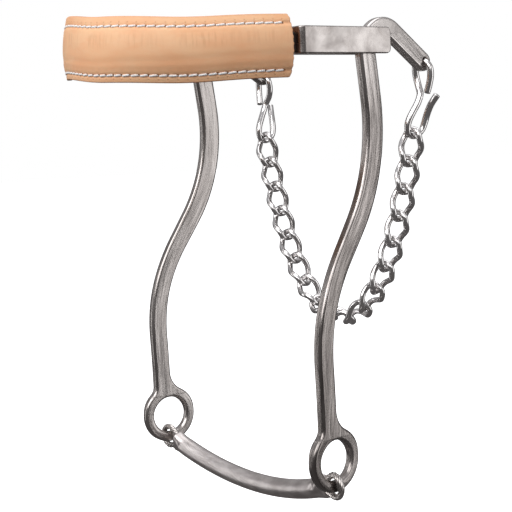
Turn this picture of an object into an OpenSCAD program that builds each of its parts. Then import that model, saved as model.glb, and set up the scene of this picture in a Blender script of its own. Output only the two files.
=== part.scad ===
// Bitless hackamore: a crowned leather noseband held by two steel brackets,
// two long curved cheeks with rein rings, a bowed tie bar between the rings,
// and a twisted curb chain hung from two wire hooks on the cheeks' rear arms.
// Millimetres. +X is the horse's left, +Y is rearward, +Z is up.
// The origin is the midpoint of the line through both cheek pivots.

/* [Cheeks] */
// Distance from the middle plane to the cheek at its pivot
cheek_x = 86.8; // [80:0.1:95]
// Fore and aft width of the forged cheek bar
cheek_w = 11; // [10:0.1:12]
// Side to side thickness of the forged cheek bar
cheek_t = 7.5; // [6.5:0.1:7.5]
// Outward turn of each cheek about the vertical, in degrees
cheek_toe = 5; // [3:0.5:5]
// Rein ring radius to the middle of its stock
ring_r = 16.25; // [15.5:0.05:17]
// Radius of the round stock of the rein ring
ring_stock = 3.75; // [3.5:0.05:3.8]

/* [Noseband] */
// Height of the leather noseband
leather_h = 38; // [34:1:40]
// Height of the noseband's middle above the pivot line
leather_z = -2.3; // [-4:0.1:0]
// How far the crowned face stands out at mid height
leather_crown = 4.5; // [3.5:0.1:5]

/* [Brackets] */
// Height of the bracket strip
bracket_h = 16; // [16:0.5:18]
// Thickness of the bracket strip
bracket_t = 3; // [2.8:0.1:3]
// Radius of the pivot pin
pin_r = 2.75; // [2.4:0.05:2.75]

/* [Tie bar] */
// Diameter of the bowed bar between the rings
bar_d = 12.7; // [11:0.1:13]

/* [Curb chain] */
// Distance from one link's seat to the next
pitch = 18.6; // [18.4:0.1:18.8]
// Diameter of the link wire
link_d = 3.8; // [3.4:0.1:3.8]
// Diameter of the hook wire
hook_d = 4; // [3.8:0.1:4]

/* [Hidden] */
$fn = 48;

steel = [0.66, 0.64, 0.63];
bright = [0.78, 0.77, 0.76];
tan_leather = [0.91, 0.72, 0.58];

// ---- cheek path, drawn in its own plane: x is rearward, y is up ----
crook_c = [14.3, -7.2];            // centre of the crook's bend
crook_r = 16;
crook_a0 = 56.2;                   // where the rear arm leaves the bend
lean = 7.5;                        // lean of the shaft below the pivot
sweep = 33;                        // forward sweep of the middle run
r_up = 115;                        // bend below the pivot
r_low = 122;                       // bend above the ring
arm_len = 33;
ring_c = [-41.9, -251.5];
q0 = crook_c + crook_r * [cos(180 + lean), sin(180 + lean)];
q1 = q0 + 24.6 * [sin(lean), -cos(lean)];
c_up = q1 - r_up * [cos(lean), sin(lean)];
q2 = c_up + r_up * [cos(sweep), -sin(sweep)];
q3 = q2 + 20 * [-sin(sweep), -cos(sweep)];
c_low = q3 + r_low * [cos(sweep), sin(sweep) * -1];
q4 = c_low - [r_low, 0];
arm_a = crook_c + crook_r * [cos(crook_a0), sin(crook_a0)];
arm_b = arm_a + arm_len * [sin(crook_a0), -cos(crook_a0)];

// the hook hole and the ring centre, in the part's frame
hole = [cheek_x - arm_b[0] * sin(cheek_toe), arm_b[0] * cos(cheek_toe), arm_b[1]];
ring = [cheek_x - ring_c[0] * sin(cheek_toe), ring_c[0] * cos(cheek_toe), ring_c[1]];

// rounded bar section: wide along x, thick along y
module bar_section(grow = 0) {
    r = 2.6;
    a = cheek_w / 2 - r;
    b = cheek_t / 2 - r;
    square([cheek_w + 2 * grow, cheek_t - 2 * r], center = true);
    square([cheek_w - 2 * r, cheek_t + 2 * grow], center = true);
    for (i = [-1, 1], j = [-1, 1]) translate([i * a, j * b]) circle(r + grow);
}

// a straight run from the local origin along +y
module run(len) {
    rotate([-90, 0, 0]) linear_extrude(height = len) bar_section();
}

// a bend that starts at the local origin heading along +y and turns left
module bend(r, a) {
    translate([-r, 0, 0]) rotate_extrude(angle = a, $fn = 96) translate([r, 0]) bar_section();
}

// moves its children to the far end of such a bend
module after_bend(r, a) {
    translate([-r, 0, 0]) rotate([0, 0, a]) translate([r, 0, 0]) children();
}

// a straight run that follows a bend, with the weld that ties the two together
module welded_run(len) {
    translate([0, 0.1, 0]) run(len - 0.1);
    translate([0, -0.3, 0]) rotate([-90, 0, 0]) linear_extrude(height = 0.8) bar_section(0.02);
}

module round_end() {
    rotate_extrude(angle = 180) intersection() {
        bar_section();
        translate([0, -20]) square([20, 40]);
    }
}

// the whole forging, laid out from the arm's end to the ring
module forging() {
    translate([crook_c[0], crook_c[1], 0]) rotate([0, 0, crook_a0]) translate([crook_r, 0, 0]) {
        // rear arm with its rounded end
        translate([0, -arm_len, 0]) {
            rotate([0, 0, 180]) round_end();
            run(arm_len);
        }
        bend(crook_r, 180 + lean - crook_a0);
        after_bend(crook_r, 180 + lean - crook_a0) {
            welded_run(24.6);
            translate([0, 24.6, 0]) mirror([1, 0, 0]) {
                bend(r_up, lean + sweep);
                after_bend(r_up, lean + sweep) {
                    welded_run(20);
                    translate([0, 20, 0]) mirror([1, 0, 0]) {
                        bend(r_low, sweep);
                        after_bend(r_low, sweep) {
                            welded_run(41.5);
                            translate([ring_c[0] * -1 - 46.5, 57, 0]) rotate_extrude($fn = 72)
                                translate([ring_r, 0]) circle(ring_stock);
                        }
                    }
                }
            }
        }
    }
}

// stands a drawing made in the cheek's plane upright on the left side
module in_cheek_plane() {
    translate([cheek_x, 0, 0]) rotate([0, 0, cheek_toe]) rotate([90, 0, 90]) children();
}

module cheek() {
    difference() {
        in_cheek_plane() forging();
        // bore for the pivot pin
        translate([cheek_x - 15, 0, 0]) rotate([0, 90, 0]) cylinder(r = pin_r + 0.05, h = 30);
        // hole for the curb hook
        translate([hole[0] - 15, hole[1], hole[2]]) rotate([0, 90, 0]) cylinder(r = hook_d / 2 + 0.6, h = 30);
    }
}

// ---- bracket: a strip folded to a U, its legs one on each side of the cheek ----
leg_in = cheek_x - 4.6 - bracket_t;     // inner leg, inside face
leg_out = cheek_x + 4.2;                // outer leg, inside face
face_out = leg_out + bracket_t;
front_y = -54.4;
rear_y = 14;

module bracket() {
    fold = 2.6;
    difference() {
        intersection() {
            translate([0, 0, -bracket_h / 2]) linear_extrude(height = bracket_h) difference() {
                union() {
                    translate([leg_in, front_y + fold]) square([face_out - leg_in, rear_y - front_y - fold]);
                    translate([leg_in + fold, front_y]) square([face_out - leg_in - 2 * fold, 10]);
                    for (x = [leg_in + fold, face_out - fold]) translate([x, front_y + fold]) circle(fold);
                }
                translate([leg_in + bracket_t, front_y + bracket_t]) square([leg_out - leg_in - bracket_t, 100]);
            }
            union() {
                // outer leg, full length, its rear corners rounded
                translate([cheek_x, 0, 0]) rotate([90, 0, 90]) linear_extrude(height = 20) {
                    translate([front_y - 1, -bracket_h / 2]) square([rear_y - front_y - 2.2, bracket_h]);
                    translate([front_y, -bracket_h / 2 + 3.2]) square([rear_y - front_y, bracket_h - 5.4]);
                    translate([rear_y - 3.2, -bracket_h / 2 + 3.2]) circle(3.2);
                    translate([rear_y - 2.2, bracket_h / 2 - 2.2]) circle(2.2);
                }
                // inner leg, ending in a round ear about the pin
                translate([leg_in - 5, front_y - 1, -bracket_h]) cube([cheek_x - leg_in + 6, 1 - front_y, 2 * bracket_h]);
                translate([leg_in - 5, 0, 0]) rotate([0, 90, 0]) cylinder(r = bracket_h / 2, h = 12);
            }
        }
        // pin bore: through the inner leg, blind in the outer one
        translate([leg_in - 5, 0, 0]) rotate([0, 90, 0]) cylinder(r = pin_r + 0.01, h = leg_out + 1.8 - leg_in + 5);
        // rivet bore in the inner leg
        translate([leg_in - 5, -46.5, -1]) rotate([0, 90, 0]) cylinder(r = 2.01, h = 12);
        // slot that the core's tongue comes through
        translate([core_end[0], core_end[1], -6.9]) rotate([0, 0, -turn_end]) translate([-1.7, 0, 0]) cube([3.4, 9, 11.8]);
        // small chamfer on the front upper corner
        translate([face_out, front_y, bracket_h / 2]) rotate([45, 0, 0]) cube([60, 3, 3], center = true);
    }
}

module pivot() {
    translate([leg_in - 1.4, 0, 0]) rotate([0, 90, 0]) {
        cylinder(r = pin_r, h = leg_out + 1.8 - leg_in + 1.4);
        cylinder(r = 4.6, h = 1.38);
    }
}

module core_rivet() {
    translate([leg_in - 1.1, -46.5, -1]) rotate([0, 90, 0]) {
        cylinder(r = 2, h = leg_out - leg_in + 1.1 - 0.3);
        cylinder(r = 3.6, h = 1.08);
    }
    translate([leg_in + bracket_t + 0.02, -46.5, -1]) rotate([0, 90, 0]) cylinder(r = 3, h = 2.9);
}

// ---- noseband: a front arc and two side arcs, swept with one section ----
front_r = 72;
front_half = 50;
front_c = [0, -79.5];
side_r = 155;
turn_end = 11.3;                     // heading of the core's ends
leather_end = 12.7;                  // heading where the leather stops
side_c = front_c + (front_r - side_r) * [sin(front_half), -cos(front_half)];
edge_end = side_c + side_r * [cos(turn_end), -sin(turn_end)];
core_mid = -1.9;
core_end = side_c + (side_r + core_mid) * [cos(turn_end), -sin(turn_end)];
crown_r = (pow(leather_h / 2, 2) + pow(leather_crown, 2)) / (2 * leather_crown);

// a section is drawn with x outward from the band's edge line and y up
module sweep_band(end = leather_end) {
    translate([0, 0, leather_z]) {
        translate([front_c[0], front_c[1], 0]) rotate([0, 0, front_half - 90]) mirror([0, 1, 0])
            rotate_extrude(angle = 2 * front_half, $fn = 120) translate([front_r, 0]) children();
        for (m = [0, 1]) mirror([m, 0, 0]) translate([front_c[0], front_c[1], 0]) rotate([0, 0, front_half - 90])
            translate([front_r - side_r, 0, 0])
            rotate_extrude(angle = 90 - front_half - end, $fn = 180) translate([side_r, 0]) children();
    }
}

// outward reach of the crowned face at height h
function crown_x(h, inset = 0) = leather_crown - crown_r + sqrt(pow(crown_r - inset, 2) - h * h);
// points up one crowned face, n steps from -h to h
function crown_line(h, n, inset = 0) = [for (i = [0 : n]) let (z = -h + 2 * h * i / n) [crown_x(z, inset), z]];

module cover_section() {
    difference() {
        polygon(concat([[-3.4, leather_h / 2], [-3.4, -leather_h / 2]], crown_line(leather_h / 2, 14)));
        polygon(concat([[-8, 12.5], [-8, -12.5]], crown_line(12.5, 8, 2)));
        for (s = [-1, 1]) translate([thread_x, s * 14.4]) circle(0.62, $fn = 24);
    }
}

module pad_section() {
    difference() {
        polygon(concat([[-3.37, 12.45], [-3.37, -12.45]], crown_line(12.45, 8, 2.06)));
        translate([core_mid - 3, -6.95]) square([4.45, 13.9]);
    }
}

thread_x = crown_x(14.4);

module core() {
    sweep_band(turn_end) translate([core_mid - 1.4, -6.9]) square([2.8, 13.8]);
    for (m = [0, 1]) mirror([m, 0, 0]) difference() {
        translate([core_end[0], core_end[1], leather_z]) rotate([0, 0, -turn_end]) {
            translate([-1.3, -1.5, -6.8]) cube([2.6, 3, 13.6]);
            translate([-1.3, -1.2, -4.4]) cube([2.6, 15.2, 11.2]);
        }
        translate([leg_in, -46.5, -1]) rotate([0, 90, 0]) cylinder(r = 2.02, h = 20);
    }
}

// a row of thread in three lengths, one to each arc of the band
module thread(s) {
    gap = 0.3;
    translate([0, 0, leather_z]) {
        translate([front_c[0], front_c[1], 0]) rotate([0, 0, -90 - front_half + gap])
            rotate_extrude(angle = 2 * (front_half - gap), $fn = 120) translate([front_r + thread_x, s * 14.4]) circle(0.6, $fn = 24);
        for (m = [0, 1]) mirror([m, 0, 0]) translate([side_c[0], side_c[1], 0]) rotate([0, 0, front_half - 90 + gap / 2])
            rotate_extrude(angle = 90 - front_half - leather_end - gap, $fn = 180) translate([side_r + thread_x, s * 14.4]) circle(0.6, $fn = 24);
    }
}

// ---- tie bar: a bowed bar whose ends wrap the rings' lower stock ----
bow_tilt = 16;                       // the bow leans rearward of straight down
bow_r = 236;
eye_y = ring[1];
eye_z = ring[2] - ring_r;
eye_r = 5;
eye_half = 3.6;
bow_half = 20.4;                     // half angle of the bowed run
bow_drop = 17.6;

module tie_bar() {
    difference() {
        union() {
            translate([0, eye_y, eye_z]) rotate([bow_tilt, 0, 0]) {
                // bowed round bar
                translate([0, 0, bow_r - bow_drop]) rotate([90, 0, 0]) rotate([0, 0, -90 - bow_half])
                    rotate_extrude(angle = 2 * bow_half, $fn = 180) translate([bow_r, 0]) circle(d = bar_d);
            }
            for (m = [0, 1]) mirror([m, 0, 0]) {
                translate([ring[0], eye_y + eye_half, eye_z]) rotate([90, 0, 0]) cylinder(r = 8.3, h = 2 * eye_half);
                // flattened neck from the bar to the eye
                translate([ring[0], eye_y, eye_z]) rotate([0, -bow_half, 0]) translate([-15, -3.3, -4.4]) cube([12, 6.6, 8.8]);
            }
        }
        for (m = [0, 1]) mirror([m, 0, 0])
            translate([ring[0], eye_y + 20, eye_z]) rotate([90, 0, 0]) cylinder(r = eye_r, h = 40);
    }
}

// ---- curb hook: an eye through the arm's hole, a stem, and an open J ----
hang = 0.53;                         // slope step of the hanging chain
function slope(j) = atan(hang * j);
function sum_cos(n, j = 1) = j > n ? 0 : cos(slope(j)) + sum_cos(n, j + 1);
function sum_sin(n, j = 1) = j > n ? 0 : sin(slope(j)) + sum_sin(n, j + 1);
chain_y = 46.2;
chain_z = -57.2;
low_z = chain_z - pitch * sum_sin(8);
function seat(k) = [pitch / 2 + pitch * sum_cos(8 - k), chain_y, low_z + pitch * sum_sin(8 - k)];

module rod(p, q, d) {
    v = q - p;
    translate(p) rotate([0, acos(v[2] / norm(v)), atan2(v[1], v[0])]) cylinder(d = d, h = norm(v));
}

module knuckle(p, d) {
    translate(p) sphere(d = d + 0.04);
}

jx = seat(0)[0];
bend_r = 6.5;
jc = [jx, chain_y, chain_z - 2.05 + bend_r];     // centre of the J's bend
eye_w = 6.5;

module hook() {
    top = [hole[0], hole[1], hole[2]];
    drop = top - [0, 0, 2.6];
    so = [hole[0] + eye_w, hole[1], hole[2] - 9];
    si = [hole[0] - eye_w, hole[1], hole[2] - 9];
    tail = [hole[0] + 4.3, hole[1] + 0.3, hole[2] - 19.7];
    neck = [hole[0] - 0.8, hole[1] - 0.9, hole[2] - 20.5];
    ja = jc + bend_r * [0, cos(160), sin(160)];
    jb = jc + [0, bend_r, 0];
    tip = [jx + 9, jc[1] + 13, jc[2] + 18.6];
    // eye
    rod(top - [eye_w - 2.6, 0, 0], top + [eye_w - 2.6, 0, 0], hook_d);
    for (m = [0, 1]) translate(drop) mirror([m, 0, 0]) translate([eye_w - 2.6, 0, 0])
        rotate([90, 0, 0]) rotate_extrude(angle = 90) translate([2.6, 0]) circle(d = hook_d);
    rod([so[0], so[1], drop[2]], so, hook_d);
    rod([si[0], si[1], drop[2]], si, hook_d);
    knuckle(so, hook_d);
    knuckle(si, hook_d);
    rod(so, tail, hook_d);
    rod(si, neck, hook_d);
    knuckle(neck, hook_d);
    // stem
    rod(neck, ja, hook_d);
    knuckle(ja, hook_d);
    // J
    translate(jc) rotate([90, 0, 90]) rotate([0, 0, 160]) rotate_extrude(angle = 200) translate([bend_r, 0]) circle(d = hook_d);
    knuckle(jb, hook_d);
    rod(jb, tip, hook_d);
    knuckle(tip, hook_d);
}

// ---- chain link: two half rings turned against each other about the long axis ----
twist = 45;
loop_r = 6.5;
loop_h = (pitch + link_d + 0.55) / 2 - loop_r;
bulge = 0.15;
// turn of link k about its own long axis: square to the hook at the top,
// easing to none at the bottom link
function turn(k) = 44 * (1 - pow(k / 9, 3));

module link() {
    s = sin(twist);
    c = cos(twist);
    for (i = [-1, 1]) {
        rotate([i > 0 ? 0 : 180, 0, 0]) translate([0, 0, loop_h]) rotate([0, 0, -twist]) rotate([90, 0, 90])
            rotate_extrude(angle = 180) translate([loop_r, 0]) circle(d = link_d);
        up = i * loop_r * [s, c, 0] + [0, 0, loop_h];
        mid = [0, i * (loop_r + bulge), 0];
        low = i * loop_r * [-s, c, 0] - [0, 0, loop_h];
        rod(mid, up, link_d);
        rod(low, mid, link_d);
        knuckle(up, link_d);
        knuckle(mid, link_d);
        knuckle(low, link_d);
    }
}

module left_link(k) {
    a = seat(k - 1);
    b = seat(k);
    translate((a + b) / 2) rotate([0, 90 - slope(9 - k), 0]) rotate([0, 0, -turn(k)]) link();
}

module right_side() {
    mirror([1, 0, 0]) children();
}

module right_link(k) {
    translate([0, chain_y, 0]) rotate([0, 0, 180]) translate([0, -chain_y, 0]) left_link(k);
}

module noseband_cover() color(tan_leather) sweep_band() cover_section();
module noseband_pad() color([0.45, 0.43, 0.4]) sweep_band() pad_section();
module noseband_core() color([0.08, 0.08, 0.08]) core();
module noseband_lining() color([0.78, 0.58, 0.44]) sweep_band() translate([-5.4, -leather_h / 2 + 0.4]) square([1.98, leather_h - 0.8]);
module stitch_upper() color([0.95, 0.94, 0.92]) thread(1);
module stitch_lower() color([0.95, 0.94, 0.92]) thread(-1);
module left_bracket() color(bright) bracket();
module right_bracket() color(bright) right_side() bracket();
module left_pivot() color(steel) pivot();
module right_pivot() color(steel) right_side() pivot();
module left_core_rivet() color(steel) core_rivet();
module right_core_rivet() color(steel) right_side() core_rivet();
module left_cheek() color(steel) cheek();
module right_cheek() color(steel) right_side() cheek();
module tie_bar_node() color(steel) tie_bar();
module left_hook() color(bright) hook();
module right_hook() color(bright) right_side() hook();
module bottom_link() color(bright) translate([0, chain_y, low_z]) rotate([0, 90, 0]) link();

noseband_cover();
noseband_pad();
noseband_core();
noseband_lining();
stitch_upper();
stitch_lower();
left_bracket();
right_bracket();
left_pivot();
right_pivot();
left_core_rivet();
right_core_rivet();
left_cheek();
right_cheek();
tie_bar_node();  // tie_bar
left_hook();
right_hook();
color(bright) left_link(1);  // left_link_1
color(bright) left_link(2);  // left_link_2
color(bright) left_link(3);  // left_link_3
color(bright) left_link(4);  // left_link_4
color(bright) left_link(5);  // left_link_5
color(bright) left_link(6);  // left_link_6
color(bright) left_link(7);  // left_link_7
color(bright) left_link(8);  // left_link_8
color(bright) right_link(1);  // right_link_1
color(bright) right_link(2);  // right_link_2
color(bright) right_link(3);  // right_link_3
color(bright) right_link(4);  // right_link_4
color(bright) right_link(5);  // right_link_5
color(bright) right_link(6);  // right_link_6
color(bright) right_link(7);  // right_link_7
color(bright) right_link(8);  // right_link_8
bottom_link();
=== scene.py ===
import math
import random

import bmesh
import bpy
import numpy as np
from mathutils import Matrix, Vector


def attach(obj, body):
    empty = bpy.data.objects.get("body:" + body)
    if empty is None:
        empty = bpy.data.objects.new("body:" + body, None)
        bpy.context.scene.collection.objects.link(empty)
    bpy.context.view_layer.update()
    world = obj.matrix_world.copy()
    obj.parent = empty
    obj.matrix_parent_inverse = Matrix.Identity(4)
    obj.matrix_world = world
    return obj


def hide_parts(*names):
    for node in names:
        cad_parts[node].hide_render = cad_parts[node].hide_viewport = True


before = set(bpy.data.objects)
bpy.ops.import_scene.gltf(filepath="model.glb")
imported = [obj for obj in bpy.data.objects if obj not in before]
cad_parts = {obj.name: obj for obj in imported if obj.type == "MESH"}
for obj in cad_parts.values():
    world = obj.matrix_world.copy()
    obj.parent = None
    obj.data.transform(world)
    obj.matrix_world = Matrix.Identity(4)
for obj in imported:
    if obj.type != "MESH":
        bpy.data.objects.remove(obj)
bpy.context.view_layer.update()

MM = 0.001
rnd = random.Random(7)
sin, cos, pi, rad = math.sin, math.cos, math.pi, math.radians


# ------------------------------------------------------------------ mesh tools
def mesh_object(name, verts, faces, mat=None, smooth=True, scale=MM):
    me = bpy.data.meshes.new(name)
    me.from_pydata([tuple(float(c) * scale for c in v) for v in verts], [], [tuple(int(i) for i in f) for f in faces])
    me.update()
    o = bpy.data.objects.new(name, me)
    bpy.context.scene.collection.objects.link(o)
    if mat:
        me.materials.append(mat)
    if smooth:
        me.polygons.foreach_set("use_smooth", [True] * len(me.polygons))
    return o


def outward(o):
    bm = bmesh.new()
    bm.from_mesh(o.data)
    bmesh.ops.remove_doubles(bm, verts=bm.verts, dist=1e-7)
    bmesh.ops.recalc_face_normals(bm, faces=bm.faces)
    bm.to_mesh(o.data)
    bm.free()
    return o


def smooth_angle(o, deg=40):
    o.data.polygons.foreach_set("use_smooth", [True] * len(o.data.polygons))
    bm = bmesh.new()
    bm.from_mesh(o.data)
    for e in bm.edges:
        if len(e.link_faces) == 2:
            e.smooth = e.calc_face_angle(0) < rad(deg)
    bm.to_mesh(o.data)
    bm.free()


def vec_attr(o, name, values):
    a = o.data.attributes.new(name, "FLOAT_VECTOR", "POINT")
    a.data.foreach_set("vector", np.asarray(values, np.float32).ravel())


def transport(pts, closed):
    """parallel-transport frames along a polyline: tangents and two normals"""
    P = np.asarray(pts, float)
    n = len(P)
    if closed:
        T = np.roll(P, -1, 0) - np.roll(P, 1, 0)
    else:
        T = np.gradient(P, axis=0)
    T /= np.linalg.norm(T, axis=1)[:, None]
    N = np.zeros_like(P)
    a = np.array([0.0, 1.0, 0.0]) if abs(T[0][1]) < 0.8 else np.array([1.0, 0.0, 0.0])
    N[0] = a - T[0] * a.dot(T[0])
    N[0] /= np.linalg.norm(N[0])
    for i in range(1, n):
        v = N[i - 1] - T[i] * N[i - 1].dot(T[i])
        N[i] = v / np.linalg.norm(v)
    B = np.cross(T, N)
    if closed:
        v = N[-1] - T[0] * N[-1].dot(T[0])
        ang = math.atan2(v.dot(B[0]), v.dot(N[0]))
        for i in range(n):
            t = -ang * i / n
            N[i], B[i] = N[i] * cos(t) + B[i] * sin(t), B[i] * cos(t) - N[i] * sin(t)
    return P, T, N, B


def tube(pts, r, seg=16, closed=False, round_ends=True, radii=None, flat=(1.0, 1.0), upto=None):
    """verts and faces of a round tube along pts; radii gives a radius for each point"""
    P, T, N, B = transport(pts, closed)
    n = len(P)
    rr = np.full(n, float(r)) if radii is None else np.asarray(radii, float)
    verts, faces = [], []

    def ringpts(c, nn, bb, q):
        return [c + (nn * cos(2 * pi * k / seg) * flat[0] + bb * sin(2 * pi * k / seg) * flat[1]) * q for k in range(seg)]

    rings = []
    if not closed and round_ends:
        for a in (80, 60, 40, 20):
            rings.append(ringpts(P[0] - T[0] * rr[0] * sin(rad(a)) * round_ends, N[0], B[0], rr[0] * cos(rad(a))))
    for i in range(n):
        rings.append(ringpts(P[i], N[i], B[i], rr[i]))
    if not closed and round_ends:
        for a in (20, 40, 60, 80):
            rings.append(ringpts(P[-1] + T[-1] * rr[-1] * sin(rad(a)) * round_ends, N[-1], B[-1], rr[-1] * cos(rad(a))))
    for q in rings:
        verts.extend(q)
    m = len(rings)
    for i in range(m if closed else m - 1):
        j = (i + 1) % m
        for k in range(seg):
            l = (k + 1) % seg
            faces.append((i * seg + k, i * seg + l, j * seg + l, j * seg + k))
    if not closed:
        faces.append(tuple(range(seg))[::-1])
        faces.append(tuple((m - 1) * seg + k for k in range(seg)))
    return verts, faces


def merge(parts):
    V, F = [], []
    for v, f in parts:
        k = len(V)
        V.extend(v)
        F.extend([tuple(i + k for i in q) for q in f])
    return V, F


def spline(ctrl, step=0.6, closed=False, tension=0.5):
    """Catmull-Rom (centripetal-ish) through ctrl, resampled at an even step"""
    C = [np.asarray(c, float) for c in ctrl]
    n = len(C)
    out = []
    rng = range(n) if closed else range(n - 1)
    for i in rng:
        p1, p2 = C[i], C[(i + 1) % n]
        p0 = C[i - 1] if (closed or i > 0) else p1 * 2 - p2
        p3 = C[(i + 2) % n] if (closed or i + 2 < n) else p2 * 2 - p1
        d = lambda a, b: max(np.linalg.norm(a - b), 1e-6) ** 0.5
        t0, t1 = 0.0, d(p0, p1)
        t2 = t1 + d(p1, p2)
        t3 = t2 + d(p2, p3)
        for k in range(24):
            t = t1 + (t2 - t1) * k / 24
            a1 = p0 * (t1 - t) / (t1 - t0) + p1 * (t - t0) / (t1 - t0)
            a2 = p1 * (t2 - t) / (t2 - t1) + p2 * (t - t1) / (t2 - t1)
            a3 = p2 * (t3 - t) / (t3 - t2) + p3 * (t - t2) / (t3 - t2)
            b1 = a1 * (t2 - t) / (t2 - t0) + a2 * (t - t0) / (t2 - t0)
            b2 = a2 * (t3 - t) / (t3 - t1) + a3 * (t - t1) / (t3 - t1)
            out.append(b1 * (t2 - t) / (t2 - t1) + b2 * (t - t1) / (t2 - t1))
    if not closed:
        out.append(C[-1])
    Q = np.array(out + ([out[0]] if closed else []))
    L = np.concatenate([[0], np.cumsum(np.linalg.norm(np.diff(Q, axis=0), axis=1))])
    m = max(int(round(L[-1] / step)), 4)
    s = np.linspace(0, L[-1], m + 1)
    R = np.stack([np.interp(s, L, Q[:, k]) for k in range(3)], 1)
    return R[:-1] if closed else R


# ------------------------------------------------------------------ materials
def nodes_of(mat):
    mat.use_nodes = True
    nt = mat.node_tree
    nt.nodes.clear()
    return nt


class Net:
    def __init__(self, name):
        self.mat = bpy.data.materials.new(name)
        self.nt = nodes_of(self.mat)
        self.out = self.add("ShaderNodeOutputMaterial")
        self.bsdf = self.add("ShaderNodeBsdfPrincipled")
        self.link(self.bsdf.outputs[0], self.out.inputs[0])

    def add(self, kind, **props):
        n = self.nt.nodes.new(kind)
        for k, v in props.items():
            setattr(n, k, v)
        return n

    def link(self, a, b):
        self.nt.links.new(a, b)

    def put(self, sock, v):
        if hasattr(v, "is_output") or hasattr(v, "links"):
            self.link(v, sock)
        else:
            sock.default_value = v

    def obj(self):
        return self.add("ShaderNodeTexCoord").outputs["Object"]

    def attr(self, name):
        return self.add("ShaderNodeAttribute", attribute_name=name).outputs["Vector"]

    def mapping(self, v, scale=(1, 1, 1), rot=(0, 0, 0), loc=(0, 0, 0)):
        m = self.add("ShaderNodeMapping")
        self.link(v, m.inputs["Vector"])
        m.inputs["Scale"].default_value = scale
        m.inputs["Rotation"].default_value = rot
        m.inputs["Location"].default_value = loc
        return m.outputs[0]

    def noise(self, v, scale, detail=4, rough=0.55, dist=0.0, out="Fac"):
        n = self.add("ShaderNodeTexNoise")
        self.link(v, n.inputs["Vector"])
        n.inputs["Scale"].default_value = scale
        n.inputs["Detail"].default_value = detail
        n.inputs["Roughness"].default_value = rough
        n.inputs["Distortion"].default_value = dist
        return n.outputs[out]

    def voronoi(self, v, scale, feature="F1", out="Distance"):
        n = self.add("ShaderNodeTexVoronoi", feature=feature)
        self.link(v, n.inputs["Vector"])
        n.inputs["Scale"].default_value = scale
        return n.outputs[out]

    def math(self, op, a, b=0.0, clamp=False):
        n = self.add("ShaderNodeMath", operation=op)
        n.use_clamp = clamp
        self.put(n.inputs[0], a)
        self.put(n.inputs[1], b)
        return n.outputs[0]

    def ramp(self, v, lo, hi, a=0.0, b=1.0, smooth=True):
        n = self.add("ShaderNodeMapRange")
        n.interpolation_type = "SMOOTHSTEP" if smooth else "LINEAR"
        self.put(n.inputs["Value"], v)
        self.put(n.inputs["From Min"], lo)
        self.put(n.inputs["From Max"], hi)
        self.put(n.inputs["To Min"], a)
        self.put(n.inputs["To Max"], b)
        return n.outputs[0]

    def mix(self, fac, a, b, blend="MIX"):
        n = self.add("ShaderNodeMix", data_type="RGBA", blend_type=blend)
        self.put(n.inputs[0], fac)
        self.put(n.inputs[6], a)
        self.put(n.inputs[7], b)
        return n.outputs[2]

    def bump(self, height, strength, dist=0.001, normal=None):
        n = self.add("ShaderNodeBump")
        n.inputs["Strength"].default_value = strength
        n.inputs["Distance"].default_value = dist
        self.link(height, n.inputs["Height"])
        if normal is not None:
            self.link(normal, n.inputs["Normal"])
        return n.outputs[0]

    def sep(self, v):
        n = self.add("ShaderNodeSeparateXYZ")
        self.link(v, n.inputs[0])
        return n.outputs

    def comb(self, x, y, z):
        n = self.add("ShaderNodeCombineXYZ")
        for s, v in zip(n.inputs, (x, y, z)):
            self.put(s, v)
        return n.outputs[0]


def rgb(r, g, b):
    """sRGB 0-255 to a linear colour"""
    f = lambda c: (c / 255 / 12.92) if c / 255 <= 0.04045 else ((c / 255 + 0.055) / 1.055) ** 2.4
    return (f(r), f(g), f(b), 1.0)


def steel(name, light, dark, rough=(0.2, 0.34), streak=None, wave=0.35, wave_scale=60, fine=0.05, mottle=35, coat=0.0, lines=0.0, painted_highlight=None):
    """satin steel: mottled tone, soft waves in the surface and fine polishing lines"""
    n = Net(name)
    o = n.attr(streak) if streak else n.obj()
    base = n.obj()
    if streak:  # attribute: along, across in metres
        along = n.mapping(o, scale=(1, 9, 9))
    else:
        along = n.mapping(o, scale=(1, 1, 1))
    m1 = n.noise(along, mottle, 5, 0.6, 0.4)
    m2 = n.noise(n.mapping(o, scale=(1, 40, 40) if streak else (1, 1, 1)), 90, 3, 0.6)
    tone = n.math("ADD", n.math("MULTIPLY", m1, 0.75), n.math("MULTIPLY", m2, 0.25))
    col = n.mix(n.ramp(tone, 0.36, 0.64), dark, light)
    if painted_highlight:  # painted highlight: the start of the stock, the arm and crook, is painted lighter
        top = n.mix(n.ramp(tone, 0.36, 0.64), painted_highlight[1], painted_highlight[0])
        col = n.mix(n.ramp(n.sep(o)[0], 0.06, 0.11), top, col)
    n.link(col, n.bsdf.inputs["Base Color"])
    n.bsdf.inputs["Metallic"].default_value = 1.0
    r = n.ramp(n.noise(along, mottle * 2.2, 4), 0.3, 0.7, rough[0], rough[1])
    n.link(r, n.bsdf.inputs["Roughness"])
    h1 = n.noise(along, wave_scale, 3, 0.5)
    b1 = n.bump(h1, wave, 0.0006)
    h2 = n.noise(n.mapping(o, scale=(1, 60, 60) if streak else (1, 1, 1)), 500, 4, 0.6)
    b2 = n.bump(h2, fine, 0.0002, b1)
    h3 = n.noise(base, 2200, 2, 0.5)
    b3 = n.bump(h3, 0.04 + lines, 0.0001, b2)
    n.link(b3, n.bsdf.inputs["Normal"])
    return n.mat


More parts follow.
